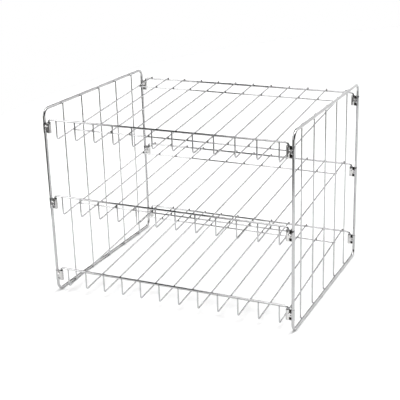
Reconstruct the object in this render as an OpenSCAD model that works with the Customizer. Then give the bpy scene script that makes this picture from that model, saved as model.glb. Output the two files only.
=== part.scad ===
// Three-tier wire cooling rack: two wire end panels, and three slatted shelves that drop
// their down-turned pins into sheet-metal sockets crimped round the panels' posts.
// X is the width, Y runs from the front to the back, and Z is up from the resting surface.

/* [Overall size] */
// Width across the posts of the two end panels
rack_w = 400; // [320:1:600]
// Depth across the front and back posts
rack_d = 314; // [240:1:450]
// Height from the resting surface to the top of the end panels
rack_h = 300; // [260:1:420]

/* [Wire sizes] */
// Diameter of the wire of the end frames
frame_wire_d = 4.5; // [4:0.1:6]
// Diameter of the wire of the shelf rims
rim_wire_d = 3; // [2.4:0.1:4]
// Diameter of the uprights in the end panels
upright_wire_d = 2.2; // [1.8:0.1:2.8]
// Diameter of the slats
slat_wire_d = 2.2; // [1.8:0.1:2.8]
// Diameter of the cross wires under the slats
cross_wire_d = 2.2; // [1.8:0.1:2.8]
// Depth that welded wires sink into each other
weld_sink = 0.2; // [0.1:0.05:0.3]
// Swell of a slat where its bend meets its sloping run
bend_swell = 0.05; // [0.03:0.01:0.1]

/* [End panels] */
// Radius of the end frames' corners, at the middle of the wire
frame_corner_r = 12; // [8:0.5:16]
// Distance from a post to the nearest upright, middle to middle
end_upright_gap = 46; // [30:0.5:60]
// Distance from the plane of an end frame to its uprights, middle to middle
upright_inset = 4.5; // [4.1:0.1:6]
// Radius of the bends at an upright's ends, at the middle of the wire
upright_bend_r = 2; // [1.5:0.1:2.2]

/* [Shelves] */
// Height of the bottom shelf's rims, at the middle of the wire
bottom_rim_z = 41.2; // [38:0.2:60]
// Distance from the top of the rack down to the top shelf's rims, at the middle of the wire
top_rim_drop = 17.4; // [16:0.2:40]
// Depth of the front lip, from the rim down to the corner of the slats
lip_drop = 29.6; // [15:0.2:34]
// Number of slats in a shelf
slat_count = 12; // [6:1:16]
// Distance from a rim's pin to the nearest slat, middle to middle
end_slat_gap = 13.6; // [10:0.2:30]
// Radius of a slat's front bend, at the middle of the wire
slat_bend_r = 3.5; // [2.5:0.1:6]
// Length of a slat's end past the middle of the back rim
slat_overhang = 2; // [1:0.1:4]
// Distance from the front rim to the front cross wire, along a slat
front_cross_gap = 49; // [20:0.5:100]
// Distance from the back rim to the back cross wire, along a slat
back_cross_gap = 46; // [20:0.5:100]
// Length of a cross wire's end past the middle of the last slat
cross_overhang = 1.6; // [1.2:0.1:4]
// Radius of the bends at a rim's ends, at the middle of the wire
rim_bend_r = 5; // [4:0.1:5.4]

/* [Post clips] */
// Depth of a rim's bend that reaches into a socket's mouth
bend_in_socket = 0.8; // [0:0.1:0.9]
// Height of a clip
clip_h = 16.6; // [14:0.2:20]
// Thickness of the clip's sheet
clip_sheet = 0.8; // [0.6:0.05:1]
// Distance from a post to the socket beside it, middle to middle
socket_offset = 7; // [6.6:0.1:9]
// Radial play of a rim's pin in its socket
pin_play = 0.15; // [0.1:0.01:0.2]
// Radial gap between a post and the clip crimped round it
grip_gap = 0.05; // [0.02:0.01:0.1]
// Gap between a pin's end and the floor of its socket
floor_gap = 0.2; // [0.1:0.05:0.5]
// Height of the flat bridge at the middle of a clip
bridge_h = 6.2; // [4:0.2:8]
// Radius of the rounded foot of a socket
socket_foot_r = 1; // [0.5:0.1:1.2]
// Radius of the punch that marks the bridge
dimple_r = 1.2; // [0.8:0.1:1.6]
// Depth of the punch mark
dimple_depth = 0.4; // [0.2:0.05:0.5]

/* [Hidden] */
$fn = 48;

LEFT = -1;
RIGHT = 1;
FRONT = -1;
BACK = 1;
chrome = "Silver";
sheet_chrome = "LightGray";

// The end frames' centre lines
post_x = (rack_w - frame_wire_d) / 2;
post_y = (rack_d - frame_wire_d) / 2;
rail_low_z = frame_wire_d / 2;
rail_high_z = rack_h - frame_wire_d / 2;

// The uprights, evenly spread between the outer two
uprights_per_panel = 5;
upright_x = post_x - upright_inset;
upright_first_y = end_upright_gap - post_y;
upright_pitch = -2 * upright_first_y / (uprights_per_panel - 1);
upright_leg_end = upright_inset - frame_wire_d / 2 + weld_sink;

// The shelves' levels
top_rim_z = rack_h - top_rim_drop;
middle_rim_z = (bottom_rim_z + top_rim_z) / 2;

// The rims, whose pins stand beside the posts
pin_x = post_x - socket_offset;
rim_y = post_y;

// The slats: each leaves its front corner at a slope, and lies on top of the back rim
slat_first_x = end_slat_gap - pin_x;
slat_pitch = -2 * slat_first_x / (slat_count - 1);
slat_run = 2 * rim_y;
slat_on_rim = (slat_wire_d + rim_wire_d) / 2 - weld_sink;
rough_slope = atan2(lip_drop + slat_on_rim, slat_run);
slat_slope = atan2(lip_drop + slat_on_rim / cos(rough_slope), slat_run);
slat_tangent = slat_bend_r * (1 + sin(slat_slope)) / cos(slat_slope);
slat_end = slat_run / cos(slat_slope) + slat_overhang;
riser_top = lip_drop - rim_wire_d / 2 + weld_sink;
cross_under_slat = (slat_wire_d + cross_wire_d) / 2 - weld_sink;
cross_w = -2 * slat_first_x + 2 * cross_overhang;

// The clips
post_bore_r = frame_wire_d / 2 + grip_gap;
post_lobe_r = post_bore_r + clip_sheet;
socket_r = rim_wire_d / 2 + pin_play;
socket_lobe_r = socket_r + clip_sheet;
clip_drop = rim_bend_r - bend_in_socket;
pin_end_drop = clip_drop + clip_h - clip_sheet - floor_gap;
dimple_x = -(post_bore_r + dimple_r / 4);

// A straight wire along X, from its left end
module rod_x(d, length) {
    rotate([0, 90, 0]) cylinder(d = d, h = length);
}

// A straight wire along Y, from its lower end
module rod_y(d, length) {
    rotate([-90, 0, 0]) cylinder(d = d, h = length);
}

// A wire bent round the Z axis from the X axis
module bend(d, r, angle) {
    rotate_extrude(angle = angle) translate([r, 0]) circle(d = d);
}

// Stands a shape drawn flat up in the plane of the end panels: X becomes Y, and Y becomes Z
module in_side_plane() {
    rotate([90, 0, 90]) children();
}

// Stands a shape drawn flat up in the plane of the shelf rims: Y becomes Z
module in_front_plane() {
    rotate([90, 0, 0]) children();
}

// The closed loop of thick wire that makes an end panel's frame
module end_frame(side) {
    straight_w = 2 * (post_y - frame_corner_r);
    straight_h = rail_high_z - rail_low_z - 2 * frame_corner_r;
    mid_z = (rail_high_z + rail_low_z) / 2;
    color(chrome)
    translate([side * post_x, 0, mid_z])
    in_side_plane()
    for (turn = [0, 180]) {
        rotate([0, 0, turn]) {
            translate([post_y, -straight_h / 2]) rod_y(frame_wire_d, straight_h);
            translate([-straight_w / 2, rail_high_z - mid_z]) rod_x(frame_wire_d, straight_w);
            translate([straight_w / 2, straight_h / 2]) bend(frame_wire_d, frame_corner_r, 90);
            translate([-straight_w / 2, straight_h / 2])
            rotate([0, 0, 90]) bend(frame_wire_d, frame_corner_r, 90);
        }
    }
}

// One upright: a thin wire inside the frame's plane, its ends turned out onto the rails
module upright(side, number) {
    run = rail_high_z - rail_low_z - 2 * upright_bend_r;
    leg = upright_leg_end - upright_bend_r;
    y = upright_first_y + (number - 1) * upright_pitch;
    mirrored = side == LEFT ? 1 : 0;
    color(chrome)
    mirror([mirrored, 0, 0])
    translate([upright_x, y, rail_low_z + upright_bend_r])
    in_front_plane() {
        rod_y(upright_wire_d, run);
        translate([upright_bend_r, run])
        rotate([0, 0, 90]) bend(upright_wire_d, upright_bend_r, 90);
        translate([upright_bend_r, 0])
        rotate([0, 0, 180]) bend(upright_wire_d, upright_bend_r, 90);
        for (leg_y = [-upright_bend_r, run + upright_bend_r]) {
            translate([upright_bend_r, leg_y]) rod_x(upright_wire_d, leg);
        }
    }
}

// A tube of the clip's sheet with a rounded foot
module lobe(r) {
    rotate_extrude() {
        square([r - socket_foot_r, clip_h]);
        translate([0, socket_foot_r]) square([r, clip_h - socket_foot_r]);
        translate([r - socket_foot_r, socket_foot_r]) circle(r = socket_foot_r);
    }
}

// A clip crimped round a post, with a socket for a rim's pin on the inner side.
// The sheet is pinched between the two tubes above and below a flat bridge.
module clip(side, end, rim_z) {
    mirrored = side == LEFT ? 1 : 0;
    bridge_z = (clip_h - bridge_h) / 2;
    color(sheet_chrome)
    mirror([mirrored, 0, 0])
    translate([post_x, end * post_y, rim_z - clip_drop - clip_h])
    difference() {
        union() {
            cylinder(r = post_lobe_r, h = clip_h);
            translate([-socket_offset, 0, 0]) lobe(socket_lobe_r);
            translate([-socket_offset, -clip_sheet, socket_foot_r])
            cube([socket_offset, 2 * clip_sheet, clip_h - socket_foot_r]);
            translate([0, 0, bridge_z]) linear_extrude(bridge_h) polygon([
                [0, -post_lobe_r],
                [0, post_lobe_r],
                [-socket_offset, socket_lobe_r],
                [-socket_offset, -socket_lobe_r]
            ]);
        }
        translate([0, 0, -clip_h / 2]) cylinder(r = post_bore_r, h = 2 * clip_h);
        translate([-socket_offset, 0, clip_sheet]) cylinder(r = socket_r, h = clip_h);
        for (face = [-1, 1]) {
            translate([dimple_x, face * (post_lobe_r + dimple_r - dimple_depth), clip_h / 2])
            sphere(r = dimple_r);
        }
    }
}

// A shelf rim: a straight wire whose ends turn down into pins
module rim(end, rim_z) {
    bar = 2 * (pin_x - rim_bend_r);
    pin = pin_end_drop - rim_bend_r;
    color(chrome)
    translate([0, end * rim_y, rim_z])
    in_front_plane() {
        translate([-bar / 2, 0]) rod_x(rim_wire_d, bar);
        for (mirrored = [0, 1]) {
            mirror([mirrored, 0, 0])
            translate([bar / 2, -rim_bend_r]) {
                bend(rim_wire_d, rim_bend_r, 90);
                translate([rim_bend_r, -pin]) rod_y(rim_wire_d, pin);
            }
        }
    }
}

// One slat: a riser hanging from the front rim, a tight bend, and a long sloping run
module slat() {
    in_side_plane() {
        translate([0, slat_tangent]) rod_y(slat_wire_d, riser_top - slat_tangent);
        translate([slat_bend_r, slat_tangent])
        rotate([0, 0, 180]) bend(slat_wire_d, slat_bend_r, 90 + slat_slope);
        rotate([0, 0, slat_slope]) translate([slat_tangent, 0]) {
            sphere(d = slat_wire_d + 2 * bend_swell);
            translate([bend_swell, 0]) rod_x(slat_wire_d, slat_end - slat_tangent - bend_swell);
        }
    }
}

// All the slats of one shelf, each a wire of its own
module slats(rim_z) {
    color(chrome)
    for (i = [0 : slat_count - 1]) {
        translate([slat_first_x + i * slat_pitch, -rim_y, rim_z - lip_drop]) slat();
    }
}

// A straight wire welded across the underside of the slats
module cross_wire(end, rim_z) {
    along = end == FRONT ? front_cross_gap : slat_run / cos(slat_slope) - back_cross_gap;
    color(chrome)
    translate([0, -rim_y, rim_z - lip_drop])
    rotate([slat_slope, 0, 0])
    translate([-cross_w / 2, along, -cross_under_slat]) rod_x(cross_wire_d, cross_w);
}

end_frame(LEFT);  // left_end_frame
end_frame(RIGHT);  // right_end_frame
upright(LEFT, 1);  // left_upright_1
upright(LEFT, 2);  // left_upright_2
upright(LEFT, 3);  // left_upright_3
upright(LEFT, 4);  // left_upright_4
upright(LEFT, 5);  // left_upright_5
upright(RIGHT, 1);  // right_upright_1
upright(RIGHT, 2);  // right_upright_2
upright(RIGHT, 3);  // right_upright_3
upright(RIGHT, 4);  // right_upright_4
upright(RIGHT, 5);  // right_upright_5
clip(LEFT, FRONT, bottom_rim_z);  // left_front_bottom_clip
clip(LEFT, FRONT, middle_rim_z);  // left_front_middle_clip
clip(LEFT, FRONT, top_rim_z);  // left_front_top_clip
clip(LEFT, BACK, bottom_rim_z);  // left_back_bottom_clip
clip(LEFT, BACK, middle_rim_z);  // left_back_middle_clip
clip(LEFT, BACK, top_rim_z);  // left_back_top_clip
clip(RIGHT, FRONT, bottom_rim_z);  // right_front_bottom_clip
clip(RIGHT, FRONT, middle_rim_z);  // right_front_middle_clip
clip(RIGHT, FRONT, top_rim_z);  // right_front_top_clip
clip(RIGHT, BACK, bottom_rim_z);  // right_back_bottom_clip
clip(RIGHT, BACK, middle_rim_z);  // right_back_middle_clip
clip(RIGHT, BACK, top_rim_z);  // right_back_top_clip
rim(FRONT, bottom_rim_z);  // bottom_front_rim
rim(BACK, bottom_rim_z);  // bottom_back_rim
cross_wire(FRONT, bottom_rim_z);  // bottom_front_cross_wire
cross_wire(BACK, bottom_rim_z);  // bottom_back_cross_wire
slats(bottom_rim_z);  // bottom_slats
rim(FRONT, middle_rim_z);  // middle_front_rim
rim(BACK, middle_rim_z);  // middle_back_rim
cross_wire(FRONT, middle_rim_z);  // middle_front_cross_wire
cross_wire(BACK, middle_rim_z);  // middle_back_cross_wire
slats(middle_rim_z);  // middle_slats
rim(FRONT, top_rim_z);  // top_front_rim
rim(BACK, top_rim_z);  // top_back_rim
cross_wire(FRONT, top_rim_z);  // top_front_cross_wire
cross_wire(BACK, top_rim_z);  // top_back_cross_wire
slats(top_rim_z);  // top_slats
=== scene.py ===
"""A three-tier wire cooling rack: bright wire end panels, and slatted shelves that lift out of clips."""

import math

import bpy
from mathutils import Matrix, Vector


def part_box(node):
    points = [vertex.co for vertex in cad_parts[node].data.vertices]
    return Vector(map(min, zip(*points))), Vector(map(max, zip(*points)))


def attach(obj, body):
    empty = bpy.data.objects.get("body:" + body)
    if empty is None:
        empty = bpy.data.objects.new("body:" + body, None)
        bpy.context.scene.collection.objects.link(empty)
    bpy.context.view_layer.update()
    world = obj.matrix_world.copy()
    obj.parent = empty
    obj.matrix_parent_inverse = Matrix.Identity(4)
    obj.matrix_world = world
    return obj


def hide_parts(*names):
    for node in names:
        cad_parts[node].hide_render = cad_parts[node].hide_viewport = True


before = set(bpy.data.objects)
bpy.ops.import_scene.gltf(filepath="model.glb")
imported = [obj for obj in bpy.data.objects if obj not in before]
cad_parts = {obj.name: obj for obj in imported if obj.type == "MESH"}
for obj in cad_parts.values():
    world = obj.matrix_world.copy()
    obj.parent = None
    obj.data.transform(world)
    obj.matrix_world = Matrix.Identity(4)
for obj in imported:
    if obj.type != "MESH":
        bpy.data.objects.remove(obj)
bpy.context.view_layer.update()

MM = 0.001
SHELVES = ("bottom", "middle", "top")
ENDS = ("front", "back")
# The two end panels, and whether each is made as a mirror image
SIDES = (("left", True), ("right", False))

# The wires
FRAME_WIRE = 4.5 * MM
RIM_WIRE = 3 * MM
THIN_WIRE = 2.2 * MM
FRAME_CORNER_R = 12 * MM
UPRIGHT_BEND_R = 2 * MM
RIM_BEND_R = 5 * MM
SLAT_BEND_R = 3.5 * MM
PIN_CHAMFER = 0.4 * MM
THIN_CHAMFER = 0.3 * MM
WIRE_SIDES = 24
DEGREES_PER_BEND_STEP = 7.5
LEAST_BEND_STEPS = 3
CHAMFER_STEPS = 3
CUT_END_ANGLE = math.radians(60)
SMOOTH_ANGLE = math.radians(40)

# The spot welds: how far the wires sink in, and the beads' widths and flatness
WELD_SINK = 0.2 * MM
UPRIGHT_BEAD_W = 3 * MM
RISER_BEAD_W = 2.9 * MM
SLAT_BEAD_W = 3.8 * MM
BEAD_FLATNESS = 0.4

# How far a slat is painted dark at a weld: weld discolouration, and painted shade where the wires cross
WELD_DARK_CORE, WELD_DARK_FADE = 1.5 * MM, 2.4 * MM
WELD_DARK_STOPS = ((-1, WELD_DARK_FADE), (-1, WELD_DARK_CORE), (1, WELD_DARK_CORE), (1, WELD_DARK_FADE))

# The clips' sheet, and how it is pinched between a post and a socket
SHEET = 0.35 * MM
POST_BORE_R = 2.3 * MM
SOCKET_R = 2.55 * MM
SOCKET_OFFSET = 7.8 * MM
BRIDGE_H = 6.2 * MM
SOCKET_FOOT_R = 1 * MM
DIMPLE_R = 1.2 * MM
DIMPLE_DEPTH = 0.4 * MM
# A pin stands a little nearer to the post than its socket's middle does
PIN_OFFSET = 7 * MM

# Where things are, read from the frame
frame_low, frame_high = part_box("right_end_frame")
POST_X = frame_high[0] - FRAME_WIRE / 2
POST_Y = frame_high[1] - FRAME_WIRE / 2
RAIL_LOW = frame_low[2] + FRAME_WIRE / 2
RAIL_HIGH = frame_high[2] - FRAME_WIRE / 2
PIN_X = POST_X - PIN_OFFSET
UPRIGHT_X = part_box("right_upright_1")[0][0] + THIN_WIRE / 2
UPRIGHT_Y = [sum(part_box(f"right_upright_{i}")[end][1] for end in (0, 1)) / 2 for i in range(1, 6)]
RIM_Z = {shelf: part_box(f"{shelf}_front_rim")[1][2] - RIM_WIRE / 2 for shelf in SHELVES}
PIN_END_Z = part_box("bottom_front_rim")[0][2] - RIM_Z["bottom"]
CLIP_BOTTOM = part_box("right_front_bottom_clip")[0][2] - RIM_Z["bottom"]
CLIP_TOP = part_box("right_front_bottom_clip")[1][2] - RIM_Z["bottom"]

# The slats hang from the front rims and rise to lie on the back rims
SLAT_COUNT = 12
slats_low, slats_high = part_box("bottom_slats")
SLAT_X = [
    slats_low[0] + THIN_WIRE / 2 + i * (slats_high[0] - slats_low[0] - THIN_WIRE) / (SLAT_COUNT - 1)
    for i in range(SLAT_COUNT)
]
SLAT_CORNER_DROP = 29.6 * MM
SLAT_RISE = SLAT_CORNER_DROP + (THIN_WIRE + RIM_WIRE) / 2 - WELD_SINK
SLAT_SLOPE = math.atan2(SLAT_RISE, 2 * POST_Y)
SLAT_OVERHANG = 2 * MM


def held(value):
    """A value held between 0 and 1."""
    return min(max(value, 0), 1)


def nothing_selected():
    """Deselects every piece, so that the next step acts on its own piece alone."""
    bpy.ops.object.select_all(action="DESELECT")


def select_only(piece):
    """Makes a piece the only one selected, and the one that is worked on."""
    nothing_selected()
    piece.select_set(True)
    bpy.context.view_layer.objects.active = piece


def start_wire(name, place, heading, thickness, fill="NGON"):
    """A new piece that is only a wire's cut end, in edit mode, ready to be drawn out."""
    nothing_selected()
    turned = Vector(heading).to_track_quat("Z", "Y").to_euler()
    bpy.ops.mesh.primitive_circle_add(
        vertices=WIRE_SIDES, radius=thickness / 2, fill_type=fill, location=place, rotation=turned
    )
    piece = bpy.context.object
    piece.name = piece.data.name = name
    bpy.ops.object.transform_apply(location=True, rotation=True, scale=True)
    bpy.ops.object.mode_set(mode="EDIT")
    bpy.ops.mesh.select_all(action="SELECT")
    return piece


def draw_out(step):
    """Draws the wire straight on by a step."""
    bpy.ops.mesh.extrude_region_move(TRANSFORM_OT_translate={"value": step})


def bend_round(centre, axis, degrees):
    """Bends the wire on round a centre, by the right-hand rule about an axis."""
    steps = max(LEAST_BEND_STEPS, math.ceil(degrees / DEGREES_PER_BEND_STEP))
    bpy.ops.mesh.spin(steps=steps, angle=-math.radians(degrees), center=centre, axis=axis)


def trim_ends(chamfer):
    """Rounds the wire's two cut ends."""
    bpy.ops.mesh.select_all(action="DESELECT")
    bpy.ops.mesh.select_mode(type="EDGE")
    bpy.ops.mesh.edges_select_sharp(sharpness=CUT_END_ANGLE)
    bpy.ops.mesh.bevel(offset=chamfer, segments=CHAMFER_STEPS, affect="EDGES")


def finish_wire():
    """Turns all faces outwards and smooths the wire."""
    bpy.ops.mesh.select_mode(type="VERT")
    bpy.ops.mesh.select_all(action="SELECT")
    bpy.ops.mesh.remove_doubles(threshold=0.001 * MM)
    bpy.ops.mesh.normals_make_consistent(inside=False)
    bpy.ops.object.mode_set(mode="OBJECT")
    bpy.ops.object.shade_smooth_by_angle(angle=SMOOTH_ANGLE)


def copy_of(piece, name, offset=(0, 0, 0), mirrored=False):
    """A copy with a mesh of its own, mirrored across the rack's middle if asked, and moved."""
    twin = piece.copy()
    twin.data = piece.data.copy()
    twin.name = twin.data.name = name
    bpy.context.collection.objects.link(twin)
    select_only(twin)
    if mirrored:
        twin.scale.x = -1
    twin.location = offset
    bpy.ops.object.transform_apply(location=True, rotation=True, scale=True)
    if mirrored:
        bpy.ops.object.mode_set(mode="EDIT")
        bpy.ops.mesh.select_all(action="SELECT")
        bpy.ops.mesh.normals_make_consistent(inside=False)
        bpy.ops.object.mode_set(mode="OBJECT")
    return twin


def joined(pieces, name):
    """One piece made of several."""
    nothing_selected()
    for piece in pieces:
        piece.select_set(True)
    bpy.context.view_layer.objects.active = pieces[0]
    bpy.ops.object.join()
    pieces[0].name = pieces[0].data.name = name
    return pieces[0]


def painted(piece, name, value_at):
    """Paints a value on every point of a piece, worked out from the point's place."""
    paint = piece.data.attributes.new(name, "FLOAT", "POINT")
    for point in piece.data.vertices:
        paint.data[point.index].value = value_at(point.co)


# ---- the wires, each modelled once ----

def end_frame_wire():
    """The right end panel's closed loop of thick wire."""
    flat = POST_Y - FRAME_CORNER_R
    low, high = RAIL_LOW + FRAME_CORNER_R, RAIL_HIGH - FRAME_CORNER_R
    loop = start_wire("right_end_frame_wire", (POST_X, 0, RAIL_LOW), (0, 1, 0), FRAME_WIRE, "NOTHING")
    draw_out((0, flat, 0))
    bend_round((POST_X, flat, low), (1, 0, 0), 90)
    draw_out((0, 0, high - low))
    bend_round((POST_X, flat, high), (1, 0, 0), 90)
    draw_out((0, -2 * flat, 0))
    bend_round((POST_X, -flat, high), (1, 0, 0), 90)
    draw_out((0, 0, low - high))
    bend_round((POST_X, -flat, low), (1, 0, 0), 90)
    draw_out((0, flat, 0))
    finish_wire()
    return loop


def upright_wire(name, y):
    """A thin upright of the right end panel, its ends turned out onto the rails."""
    foot_x = POST_X - FRAME_WIRE / 2 + WELD_SINK
    leg = foot_x - UPRIGHT_X - UPRIGHT_BEND_R
    low, high = RAIL_LOW + UPRIGHT_BEND_R, RAIL_HIGH - UPRIGHT_BEND_R
    wire = start_wire(name, (foot_x, y, RAIL_LOW), (-1, 0, 0), THIN_WIRE)
    draw_out((-leg, 0, 0))
    bend_round((UPRIGHT_X + UPRIGHT_BEND_R, y, low), (0, 1, 0), 90)
    draw_out((0, 0, high - low))
    bend_round((UPRIGHT_X + UPRIGHT_BEND_R, y, high), (0, 1, 0), 90)
    draw_out((leg, 0, 0))
    finish_wire()
    return wire


def rim_wire(name, y):
    """A shelf's rim at height zero, with its ends turned down into pins."""
    turn_x = PIN_X - RIM_BEND_R
    wire = start_wire(name, (-PIN_X, y, PIN_END_Z), (0, 0, 1), RIM_WIRE)
    draw_out((0, 0, -RIM_BEND_R - PIN_END_Z))
    bend_round((-turn_x, y, -RIM_BEND_R), (0, 1, 0), 90)
    draw_out((2 * turn_x, 0, 0))
    bend_round((turn_x, y, -RIM_BEND_R), (0, 1, 0), 90)
    draw_out((0, 0, PIN_END_Z + RIM_BEND_R))
    trim_ends(PIN_CHAMFER)
    finish_wire()
    return wire


def slat_wire(name, x, weld_places):
    """One slat below a rim at height zero: a riser, a tight bend and a long rising run, painted dark at
    welds for discolouration and shade.
    """
    along, up = math.cos(SLAT_SLOPE), math.sin(SLAT_SLOPE)
    tangent = SLAT_BEND_R * (1 + up) / along
    run = 2 * POST_Y / along + SLAT_OVERHANG - tangent
    bend_z = tangent - SLAT_CORNER_DROP
    riser_top = -RIM_WIRE / 2 + WELD_SINK
    wire = start_wire(name, (x, -POST_Y, riser_top), (0, 0, -1), THIN_WIRE)
    draw_out((0, 0, bend_z - riser_top))
    bend_round((x, SLAT_BEND_R - POST_Y, bend_z), (1, 0, 0), 90 + math.degrees(SLAT_SLOPE))
    welds = [(y + POST_Y) / along - tangent for y in weld_places]
    rings = [at + side * reach for at in welds for side, reach in WELD_DARK_STOPS]
    stops = [ring for ring in rings if ring < run]
    for start, stop in zip([0, *stops], [*stops, run]):
        draw_out((0, (stop - start) * along, (stop - start) * up))
    trim_ends(THIN_CHAMFER)
    finish_wire()

    # Painted dark near each weld: weld discolouration, and painted shade where the wires cross
    def weld_darkening(place):
        at = (place.y + POST_Y) / along - tangent
        away = min(abs(at - weld) for weld in welds) if at > 0 else WELD_DARK_FADE
        return held((WELD_DARK_FADE - away) / (WELD_DARK_FADE - WELD_DARK_CORE))

    painted(wire, "weld_dullness_and_shade", weld_darkening)
    return wire


def cross_wire(name, node):
    """A straight wire below the slats, where the frame's wire lies."""
    low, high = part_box(node)
    y, z = (low[1] + high[1]) / 2, (low[2] + high[2]) / 2
    wire = start_wire(name, (low[0], y, z), (1, 0, 0), THIN_WIRE)
    draw_out((high[0] - low[0], 0, 0))
    trim_ends(THIN_CHAMFER)
    finish_wire()
    return wire


def weld(place, facing, width):
    """The flattened bead of metal that a spot weld squeezes out between two wires."""
    nothing_selected()
    turned = Vector(facing).to_track_quat("Z", "Y").to_euler()
    bpy.ops.mesh.primitive_uv_sphere_add(
        segments=12, ring_count=7, radius=width / 2, location=place, rotation=turned
    )
    bead = bpy.context.object
    bead.scale.z = BEAD_FLATNESS
    bpy.ops.object.transform_apply(location=True, rotation=True, scale=True)
    bpy.ops.object.shade_smooth()
    # The bead is painted dark all over: weld discolouration, and painted shade between the wires
    painted(bead, "weld_dullness_and_shade", lambda _: 1)
    return bead


# ---- the clip ----

CLIP_H = CLIP_TOP - CLIP_BOTTOM
POST_LOBE_R = POST_BORE_R + SHEET
SOCKET_LOBE_R = SOCKET_R + SHEET
PUNCH_X = -POST_BORE_R - DIMPLE_R / 4
# How many steps the clip's outline takes round the post, along each side and round the socket
POST_ARC, NECK, SOCKET_ARC = 24, 26, 24
CLIP_RING = POST_ARC + SOCKET_ARC + 2 * NECK
# Heights in mm of the first cross-sections, which follow the socket's round foot
FOOT_LEVELS = [0, 0.13, 0.29, 0.5, 0.74, 1, 2.7]
CRIMP_EDGE = 1.1 * MM
CRIMP_STEPS = 6
BORE_SIDES = 48
SOFT_EDGE = 0.12 * MM
SOFT_EDGE_ANGLE = math.radians(50)


def clip_levels():
    """Heights of the clip's cross-sections, closer together at its foot and at its crimps' edges."""
    bridge = ((CLIP_H - BRIDGE_H) / 2, (CLIP_H + BRIDGE_H) / 2)
    edges = [
        height + (step / CRIMP_STEPS - 0.5) * CRIMP_EDGE
        for height in bridge
        for step in range(CRIMP_STEPS + 1)
    ]
    return [level * MM for level in FOOT_LEVELS] + edges + [CLIP_H]


def how_pinched(height):
    """0 on the flat bridge, 1 where the sheet is pinched together, and smooth between."""
    away = abs(height - CLIP_H / 2) - BRIDGE_H / 2
    t = held(away / CRIMP_EDGE + 0.5)
    return t * t * (3 - 2 * t)


def clip_outline(step, height):
    """A point of the clip's outline round the post, at the origin, and the socket beside it."""
    lift = SOCKET_FOOT_R - min(height, SOCKET_FOOT_R)
    socket_r = SOCKET_LOBE_R - SOCKET_FOOT_R + math.sqrt(SOCKET_FOOT_R ** 2 - lift ** 2)
    if step < POST_ARC:
        angle = math.pi * (step / POST_ARC - 0.5)
        return POST_LOBE_R * math.cos(angle), POST_LOBE_R * math.sin(angle)
    step -= POST_ARC
    if NECK <= step < NECK + SOCKET_ARC:
        angle = math.pi * ((step - NECK) / SOCKET_ARC + 0.5)
        return socket_r * math.cos(angle) - SOCKET_OFFSET, socket_r * math.sin(angle)
    side = 1 if step < NECK else -1
    share = step / NECK if side == 1 else 1 - (step - NECK - SOCKET_ARC) / NECK
    x = -SOCKET_OFFSET * share
    post_side = math.sqrt(max(POST_LOBE_R ** 2 - x ** 2, 0))
    socket_side = math.sqrt(max(socket_r ** 2 - (x + SOCKET_OFFSET) ** 2, 0))
    tubes = max(post_side, socket_side)
    bridge = max(tubes, POST_LOBE_R + (socket_r - POST_LOBE_R) * share)
    pinched = max(tubes, SHEET)
    return x, side * (bridge + (pinched - bridge) * how_pinched(height))


def drill(piece, tool):
    """Cuts a tool's shape out of a piece."""
    cut = piece.modifiers.new("cut", "BOOLEAN")
    cut.operation = "DIFFERENCE"
    cut.solver = "EXACT"
    cut.object = tool
    select_only(piece)
    bpy.ops.object.modifier_apply(modifier=cut.name)
    bpy.data.objects.remove(tool)


def round_tool(place, radius, depth):
    """The shape of a drill that stands upright."""
    nothing_selected()
    bpy.ops.mesh.primitive_cylinder_add(vertices=BORE_SIDES, radius=radius, depth=depth, location=place)
    return bpy.context.object


def punch_tool(place):
    """The shape of a punch's round nose."""
    nothing_selected()
    bpy.ops.mesh.primitive_uv_sphere_add(segments=32, ring_count=16, radius=DIMPLE_R, location=place)
    return bpy.context.object


def clip_sheet():
    """The right front clip below a rim at height zero: sheet crimped round the post and a socket."""
    levels = clip_levels()
    nothing_selected()
    bpy.ops.mesh.primitive_circle_add(vertices=CLIP_RING, radius=POST_LOBE_R, fill_type="NGON")
    clip = bpy.context.object
    bpy.ops.object.mode_set(mode="EDIT")
    bpy.ops.mesh.select_all(action="SELECT")
    for low, high in zip(levels, levels[1:]):
        draw_out((0, 0, high - low))
    bpy.ops.mesh.select_all(action="SELECT")
    bpy.ops.mesh.normals_make_consistent(inside=False)
    bpy.ops.object.mode_set(mode="OBJECT")
    for point in clip.data.vertices:
        turned = math.atan2(point.co.y, point.co.x) / math.tau
        point.co.x, point.co.y = clip_outline(round(turned * CLIP_RING) % CLIP_RING, point.co.z)
    drill(clip, round_tool((0, 0, CLIP_H / 2), POST_BORE_R, 2 * CLIP_H))
    drill(clip, round_tool((-SOCKET_OFFSET, 0, SHEET + CLIP_H / 2), SOCKET_R, CLIP_H))
    for face in (-1, 1):
        drill(clip, punch_tool((PUNCH_X, face * (POST_LOBE_R + DIMPLE_R - DIMPLE_DEPTH), CLIP_H / 2)))
    soften = clip.modifiers.new("soften", "BEVEL")
    soften.width = SOFT_EDGE
    soften.segments = 2
    soften.limit_method = "ANGLE"
    soften.angle_limit = SOFT_EDGE_ANGLE
    select_only(clip)
    bpy.ops.object.modifier_apply(modifier=soften.name)
    bpy.ops.object.shade_smooth_by_angle(angle=SMOOTH_ANGLE)
    clip.location = (POST_X, -POST_Y, CLIP_BOTTOM)
    bpy.ops.object.transform_apply(location=True, rotation=True, scale=True)
    return clip


# The clip's painted shade, measured inwards from the post's middle: the pinched groove's middle, half width
# and soft edge, where the painted dark reflection on the socket's far side begins, its edge and strength,
# and where the sleeve ends
GROOVE_AT, GROOVE_HALF_W, GROOVE_FADE = 3.9 * MM, 1.55 * MM, 0.3 * MM
FAR_SIDE_FROM, FAR_SIDE_FADE, FAR_SIDE_SHADE = SOCKET_OFFSET + 0.9 * MM, 0.6 * MM, 0.55
SLEEVE_TO, SLEEVE_FADE = 2.4 * MM, 0.3 * MM
PUNCH_MARK_R = 0.9 * DIMPLE_R
PUNCH_MARK_DEPTH = 0.05 * MM
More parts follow.
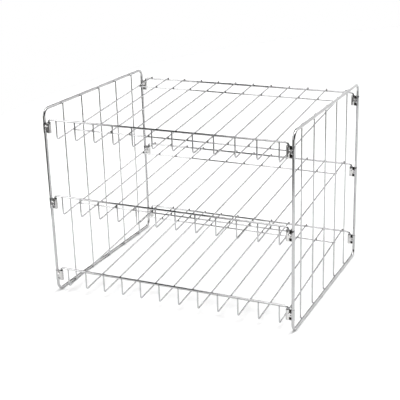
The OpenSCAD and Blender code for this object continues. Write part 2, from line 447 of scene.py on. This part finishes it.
# How much of that painted shade each corner's clips have: the same clips, shaded more or less by corner
PAINTED_SHADE_SHARE = {("right", "front"): 1, ("right", "back"): 1, ("left", "front"): 0.35, ("left", "back"): 0.06}


def mark_clip(clip):
    """Paints shade into the clip's pinched grooves and punch marks, a dark reflection along the socket's
    far side, and its sleeve like the post.
    """
    middle = Vector((POST_X, -POST_Y, CLIP_BOTTOM + CLIP_H / 2))

    # Painted shade: dark in the pinched grooves and punch marks, and a painted dark reflection along the
    # socket's far side
    def painted_shade(place):
        x, y, z = place - middle
        across = held((GROOVE_HALF_W - abs(x + GROOVE_AT)) / GROOVE_FADE)
        groove = across * how_pinched(z + CLIP_H / 2)
        far_side_shade = held((-x - FAR_SIDE_FROM) / FAR_SIDE_FADE)
        in_punch = math.hypot(x - PUNCH_X, z) < PUNCH_MARK_R and abs(y) < POST_LOBE_R - PUNCH_MARK_DEPTH
        return max(groove, 1 if in_punch else 0, FAR_SIDE_SHADE * far_side_shade)

    painted(clip, "painted_shade", painted_shade)
    painted(clip, "round_post", lambda place: held((place.x - middle.x + SLEEVE_TO) / SLEEVE_FADE))


# ---- the finishes ----

# How fine the plating's patterns are, in patches to the metre, and how many layers of detail they have
CLOUDS, CLOUD_DETAIL = 45, 3
SPECKS, SPECK_DETAIL = 900, 2
# The part of a noise pattern's range that is used
NOISE_LOW, NOISE_HIGH = 0.3, 0.7
# The plating's roughness in its clouds, and what the specks and a full mark add to it
CLEAR_ROUGHNESS, CLOUDY_ROUGHNESS = 0.06, 0.14
SPECK_ROUGHNESS = 0.04
MARK_ROUGHNESS = 0.3
# How strongly, and how high, the specks stand out
RELIEF, RELIEF_HEIGHT = 0.25, 0.02 * MM


def new_finish(name):
    """An empty material and its shader."""
    finish = bpy.data.materials.new(name)
    finish.use_nodes = True
    return finish, finish.node_tree, finish.node_tree.nodes["Principled BSDF"]


def node_of(tree, kind, **settings):
    """A new node with its settings."""
    node = tree.nodes.new(kind)
    for key, value in settings.items():
        setattr(node, key, value)
    return node


def noise(tree, scale, detail):
    """A noise pattern that stays with the piece."""
    place = node_of(tree, "ShaderNodeTexCoord")
    pattern = node_of(tree, "ShaderNodeTexNoise")
    pattern.inputs["Scale"].default_value = scale
    pattern.inputs["Detail"].default_value = detail
    tree.links.new(place.outputs["Object"], pattern.inputs["Vector"])
    return pattern.outputs["Fac"]


def ranged(tree, value, from_low, from_high, low, high, shape="SMOOTHSTEP"):
    """A value stretched from one range to another, held at its ends."""
    stretch = node_of(tree, "ShaderNodeMapRange", interpolation_type=shape)
    for key, number in (("From Min", from_low), ("From Max", from_high), ("To Min", low), ("To Max", high)):
        stretch.inputs[key].default_value = number
    tree.links.new(value, stretch.inputs["Value"])
    return stretch.outputs["Result"]


def spread(tree, pattern, low, high):
    """A noise pattern's middle range, stretched to run from low to high."""
    return ranged(tree, pattern, NOISE_LOW, NOISE_HIGH, low, high, "LINEAR")


def mixed(tree, share, first, second):
    """A colour between two colours, or between another mix and a colour."""
    mix = node_of(tree, "ShaderNodeMix", data_type="RGBA")
    tree.links.new(share, mix.inputs["Factor"])
    for socket, colour in (("A", first), ("B", second)):
        target = [s for s in mix.inputs if s.name == socket and s.type == "RGBA"][0]
        if isinstance(colour, tuple):
            target.default_value = (*colour, 1)
        else:
            tree.links.new(colour, target)
    return [s for s in mix.outputs if s.type == "RGBA"][0]


def maths(tree, operation, *values, clamped=False):
    """A sum, product or other combination of values and plain numbers."""
    node = node_of(tree, "ShaderNodeMath", operation=operation, use_clamp=clamped)
    for socket, value in zip(node.inputs, values):
        if isinstance(value, (int, float)):
            socket.default_value = value
        else:
            tree.links.new(value, socket)
    return node.outputs[0]


def marked(tree, name):
    """A value that was painted on the piece's points."""
    return node_of(tree, "ShaderNodeAttribute", attribute_name=name).outputs["Fac"]


def leaning(tree):
    """The surface's facing, leaned a little to the left where the wire is marked as bowed."""
    lean = node_of(tree, "ShaderNodeCombineXYZ")
    tree.links.new(maths(tree, "MULTIPLY", marked(tree, "bow"), -1), lean.inputs["X"])
    total = node_of(tree, "ShaderNodeVectorMath", operation="ADD")
    tree.links.new(node_of(tree, "ShaderNodeNewGeometry").outputs["Normal"], total.inputs[0])
    tree.links.new(lean.outputs[0], total.inputs[1])
    facing = node_of(tree, "ShaderNodeVectorMath", operation="NORMALIZE")
    tree.links.new(total.outputs[0], facing.inputs[0])
    return facing.outputs[0]


def bumped(tree, shader, height, strength, distance):
    """Gives the surface a fine relief."""
    bump = node_of(tree, "ShaderNodeBump")
    bump.inputs["Strength"].default_value = strength
    bump.inputs["Distance"].default_value = distance
    tree.links.new(height, bump.inputs["Height"])
    tree.links.new(leaning(tree), bump.inputs["Normal"])
    tree.links.new(bump.outputs["Normal"], shader.inputs["Normal"])


def chrome_finish(name, bright, cloudy, marks, mark_colour, on_post=None):
    """Bright plating: faintly cloudy, finely speckled, toned apart on a post, and dark and dull at its
    marked places, where painted shade (and on wires weld discolouration) is laid on.
    """
    finish, tree, shader = new_finish(name)
    shader.inputs["Metallic"].default_value = 1
    clouds = noise(tree, CLOUDS, CLOUD_DETAIL)
    specks = noise(tree, SPECKS, SPECK_DETAIL)
    plating = mixed(tree, spread(tree, clouds, 0, 1), bright, cloudy)
    if on_post:
        plating = mixed(tree, marked(tree, "round_post"), plating, on_post)
    mark = marked(tree, marks)
    # The marked places take the dark mark colour: painted shade, and on the wires weld discolouration too
    tree.links.new(mixed(tree, mark, plating, mark_colour), shader.inputs["Base Color"])
    in_clouds = spread(tree, clouds, CLEAR_ROUGHNESS, CLOUDY_ROUGHNESS)
    in_specks = spread(tree, specks, 0, SPECK_ROUGHNESS)
    at_marks = ranged(tree, mark, 0, 1, 0, MARK_ROUGHNESS, "LINEAR")
    unmarked = maths(tree, "ADD", in_clouds, in_specks, clamped=True)
    tree.links.new(maths(tree, "ADD", unmarked, at_marks, clamped=True), shader.inputs["Roughness"])
    bumped(tree, shader, specks, RELIEF, RELIEF_HEIGHT)
    return finish


CHROME_WIRE = chrome_finish(
    "chrome_wire_plating",
    bright=(0.48, 0.48, 0.485),
    cloudy=(0.42, 0.42, 0.425),
    # The wires' marks are the welds: weld discolouration, and painted shade where the wires cross
    marks="weld_dullness_and_shade",
    mark_colour=(0.026, 0.024, 0.022),
)
CLIP_CHROME = chrome_finish(
    "clip_sheet_plating",
    bright=(0.62, 0.616, 0.612),
    cloudy=(0.55, 0.546, 0.542),
    # The clip's marks are painted shade in its grooves and punch marks, and a painted dark reflection on
    # the socket's far side
    marks="painted_shade",
    mark_colour=(0.02, 0.018, 0.016),
    on_post=(0.45, 0.45, 0.455),
)


# ---- the pieces ----

# How far the shading of a back rim leans at its left end, and the share of that at its middle
BOW = 0.065
BOW_AT_MIDDLE = 0.4


def bow_at(place):
    """How far a back rim's shading leans: most at its left end, less to the right, then not at all."""
    return BOW * held(BOW_AT_MIDDLE - (1 - BOW_AT_MIDDLE) * place.x / PIN_X)


def settle(piece, body, finish, node):
    """Gives a piece its finish and its body, and hides the frame's solid that it stands for."""
    piece.data.materials.clear()
    piece.data.materials.append(finish)
    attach(piece, body)
    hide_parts(node)


def end_panels():
    """The two closed frames, each with its five uprights."""
    right_frame = end_frame_wire()
    left_frame = copy_of(right_frame, "left_end_frame_wire", mirrored=True)
    settle(right_frame, "end_panels", CHROME_WIRE, "right_end_frame")
    settle(left_frame, "end_panels", CHROME_WIRE, "left_end_frame")

    first_y = UPRIGHT_Y[0]
    weld_x = POST_X - FRAME_WIRE / 2 + WELD_SINK / 2
    welds = [weld((weld_x, first_y, z), (1, 0, 0), UPRIGHT_BEAD_W) for z in (RAIL_LOW, RAIL_HIGH)]
    upright = joined([upright_wire("upright", first_y), *welds], "upright")
    for number, y in enumerate(UPRIGHT_Y, 1):
        for side, mirrored in SIDES:
            wire = copy_of(upright, f"{side}_upright_wire_{number}", (0, y - first_y, 0), mirrored)
            settle(wire, "end_panels", CHROME_WIRE, f"{side}_upright_{number}")
    bpy.data.objects.remove(upright)


def clips():
    """A clip for each corner of each shelf."""
    clip = clip_sheet()
    mark_clip(clip)
    for shelf in SHELVES:
        for end, y in (("front", 0), ("back", 2 * POST_Y)):
            for side, mirrored in SIDES:
                name = f"{side}_{end}_{shelf}_clip"
                sheet = copy_of(clip, f"{name}_sheet", (0, y, RIM_Z[shelf]), mirrored)
                # Each corner's clips get their own strength of painted shade
                for mark in sheet.data.attributes["painted_shade"].data:
                    mark.value *= PAINTED_SHADE_SHARE[side, end]
                settle(sheet, "end_panels", CLIP_CHROME, name)
    bpy.data.objects.remove(clip)


def welded_slat():
    """One slat with its beads: at its riser, on the back rim and on the two cross wires."""
    cross = {end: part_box(f"bottom_{end}_cross_wire") for end in ENDS}
    middles = {end: [(low + high) / 2 for low, high in zip(*cross[end])] for end in ENDS}
    slat = slat_wire("slat", 0, [middles["front"][1], middles["back"][1], POST_Y])
    normal = Vector((0, -math.sin(SLAT_SLOPE), math.cos(SLAT_SLOPE)))
    on_rim = Vector((0, POST_Y, 0)) + normal * (RIM_WIRE - WELD_SINK) / 2
    beads = [
        weld((0, -POST_Y, (WELD_SINK - RIM_WIRE) / 2), (0, 0, 1), RISER_BEAD_W),
        weld(on_rim, normal, SLAT_BEAD_W),
    ]
    for end in ENDS:
        _, y, z = middles[end]
        on_cross = Vector((0, y, z - RIM_Z["bottom"])) + normal * (THIN_WIRE - WELD_SINK) / 2
        beads.append(weld(on_cross, normal, SLAT_BEAD_W))
    return joined([slat, *beads], "slat")


def shelves():
    """The three shelves: two rims, two cross wires and twelve slats each."""
    rim = rim_wire("rim", 0)
    slat = welded_slat()
    for shelf in SHELVES:
        body = f"{shelf}_shelf"
        for end, y in (("front", -POST_Y), ("back", POST_Y)):
            wire = copy_of(rim, f"{shelf}_{end}_rim_wire", (0, y, RIM_Z[shelf]))
            if end == "back":
                painted(wire, "bow", bow_at)
            settle(wire, body, CHROME_WIRE, f"{shelf}_{end}_rim")
            wire = cross_wire(f"{shelf}_{end}_cross_wire_bar", f"{shelf}_{end}_cross_wire")
            settle(wire, body, CHROME_WIRE, f"{shelf}_{end}_cross_wire")
        slats = [copy_of(slat, "one_slat", (x, 0, RIM_Z[shelf])) for x in SLAT_X]
        slats = joined(slats, f"{shelf}_slat_wires")
        settle(slats, body, CHROME_WIRE, f"{shelf}_slats")
    bpy.data.objects.remove(rim)
    bpy.data.objects.remove(slat)


end_panels()
clips()
shelves()


# ---- floor, light and camera ----

FLOOR_R = 2
FLOOR_MIDDLE = (1, 1, 0)
FLOOR_TONES = ((0.95, 0.95, 0.95), (0.93, 0.93, 0.93))
FLOOR_PATCHES, FLOOR_DETAIL = 3, 2

# The studio's white panels as seen from the rack: the two ends across it, from -1 at its far left to 1
# at its far right, the two edges in degrees up from the front and over to the back, and the brightness
PANELS = (
    # far to the left
    (-0.75, -0.525, -5, 80, 4.4),
    # nearer to the middle, in front and then higher up
    (-0.33, -0.15, -5, 50, 1.5),
    (-0.365, -0.15, 50, 80, 5),
    # overhead
    (-0.15, 0.4, 70, 112, 6.2),
    # to the right, high at the back
    (0.2, 0.42, 110, 145, 5),
    # the wide back wall
    (-0.365, 1.1, 145, 185, 1.2),
)
PANEL_EDGE, PANEL_EDGE_DEGREES = 0.02, 2
# The room below the horizon, dark at the front left and light at the back right
ROOM_DARK, ROOM_LIGHT = 0.2, 1.0
ROOM_DARK_AT, ROOM_LIGHT_AT = -0.6, 0.3
HORIZON_EDGE = 0.01

# The camera's place, its azimuth, elevation and roll in degrees, and its lens in mm
CAMERA_PLACE = (0.59616, -1.29043, 0.62669)
CAMERA_TURN = (25.395, 19.354, -1.731)
CAMERA_LENS = 84.058


def pale_floor():
    """A round pale table top, which ends nearer on the left and in front."""
    nothing_selected()
    bpy.ops.mesh.primitive_circle_add(
        vertices=96, radius=FLOOR_R, fill_type="NGON", location=FLOOR_MIDDLE
    )
    floor = bpy.context.object
    bpy.ops.object.transform_apply(location=True, rotation=True, scale=True)
    floor.name = floor.data.name = "floor"
    finish, tree, shader = new_finish("pale_floor")
    tone = mixed(tree, spread(tree, noise(tree, FLOOR_PATCHES, FLOOR_DETAIL), 0, 1), *FLOOR_TONES)
    tree.links.new(tone, shader.inputs["Base Color"])
    shader.inputs["Roughness"].default_value = 0.9
    shader.inputs["Specular IOR Level"].default_value = 0.1
    floor.data.materials.append(finish)


def panel(tree, x, turn, left, right, low, high, brightness):
    """One white panel, soft at its edges."""
    side, edge = PANEL_EDGE, PANEL_EDGE_DEGREES
    across = maths(
        tree, "MULTIPLY",
        ranged(tree, x, left - side, left + side, 0, 1),
        ranged(tree, x, right - side, right + side, 1, 0),
    )
    along = maths(
        tree, "MULTIPLY",
        ranged(tree, turn, low - edge, low + edge, 0, 1),
        ranged(tree, turn, high - edge, high + edge, 1, 0),
    )
    return maths(tree, "MULTIPLY", maths(tree, "MULTIPLY", across, along), brightness)


def soft_studio():
    """White panels that only light the rack and mirror in it, before a backdrop of plain white."""
    world = bpy.data.worlds.new("studio")
    bpy.context.scene.world = world
    world.use_nodes = True
    tree = world.node_tree
    background = tree.nodes["Background"]
    place = node_of(tree, "ShaderNodeTexCoord")
    axes = node_of(tree, "ShaderNodeSeparateXYZ")
    tree.links.new(place.outputs["Generated"], axes.inputs[0])
    x, y, z = axes.outputs
    turn = maths(tree, "DEGREES", maths(tree, "ARCTAN2", z, maths(tree, "MULTIPLY", y, -1)))
    above = 0
    for ends_and_brightness in PANELS:
        above = maths(tree, "ADD", above, panel(tree, x, turn, *ends_and_brightness))
    to_back_right = maths(tree, "ADD", x, y)
    below = ranged(tree, to_back_right, ROOM_DARK_AT, ROOM_LIGHT_AT, ROOM_DARK, ROOM_LIGHT)
    is_above = ranged(tree, z, -HORIZON_EDGE, HORIZON_EDGE, 0, 1)
    is_below = maths(tree, "SUBTRACT", 1, is_above)
    light_above = maths(tree, "MULTIPLY", above, is_above)
    light_below = maths(tree, "MULTIPLY", below, is_below)
    light = maths(tree, "ADD", light_above, light_below)
    seen = node_of(tree, "ShaderNodeLightPath").outputs["Is Camera Ray"]
    shown = node_of(tree, "ShaderNodeMix", data_type="FLOAT")
    tree.links.new(seen, shown.inputs["Factor"])
    tree.links.new(light, shown.inputs["A"])
    shown.inputs["B"].default_value = 1
    tree.links.new(shown.outputs["Result"], background.inputs["Strength"])
    background.inputs["Color"].default_value = (1, 1, 1, 1)


def camera():
    """The camera in its place, turned and rolled, with its lens."""
    azimuth, elevation, roll = (math.radians(angle) for angle in CAMERA_TURN)
    forward = Vector((
        -math.sin(azimuth) * math.cos(elevation),
        math.cos(azimuth) * math.cos(elevation),
        -math.sin(elevation),
    ))
    level = Vector((math.cos(azimuth), math.sin(azimuth), 0))
    over = level.cross(forward)
    right = math.cos(roll) * level + math.sin(roll) * over
    top = math.cos(roll) * over - math.sin(roll) * level
    data = bpy.data.cameras.new("camera")
    data.sensor_width = 36
    data.lens = CAMERA_LENS
    data.clip_start, data.clip_end = 0.01, 100
    eye = bpy.data.objects.new("camera", data)
    bpy.context.collection.objects.link(eye)
    turn = Matrix((right, top, -forward)).transposed().to_4x4()
    eye.matrix_world = Matrix.Translation(CAMERA_PLACE) @ turn
    bpy.context.scene.camera = eye


pale_floor()
soft_studio()
camera()
bpy.context.scene.view_settings.view_transform = "Standard"
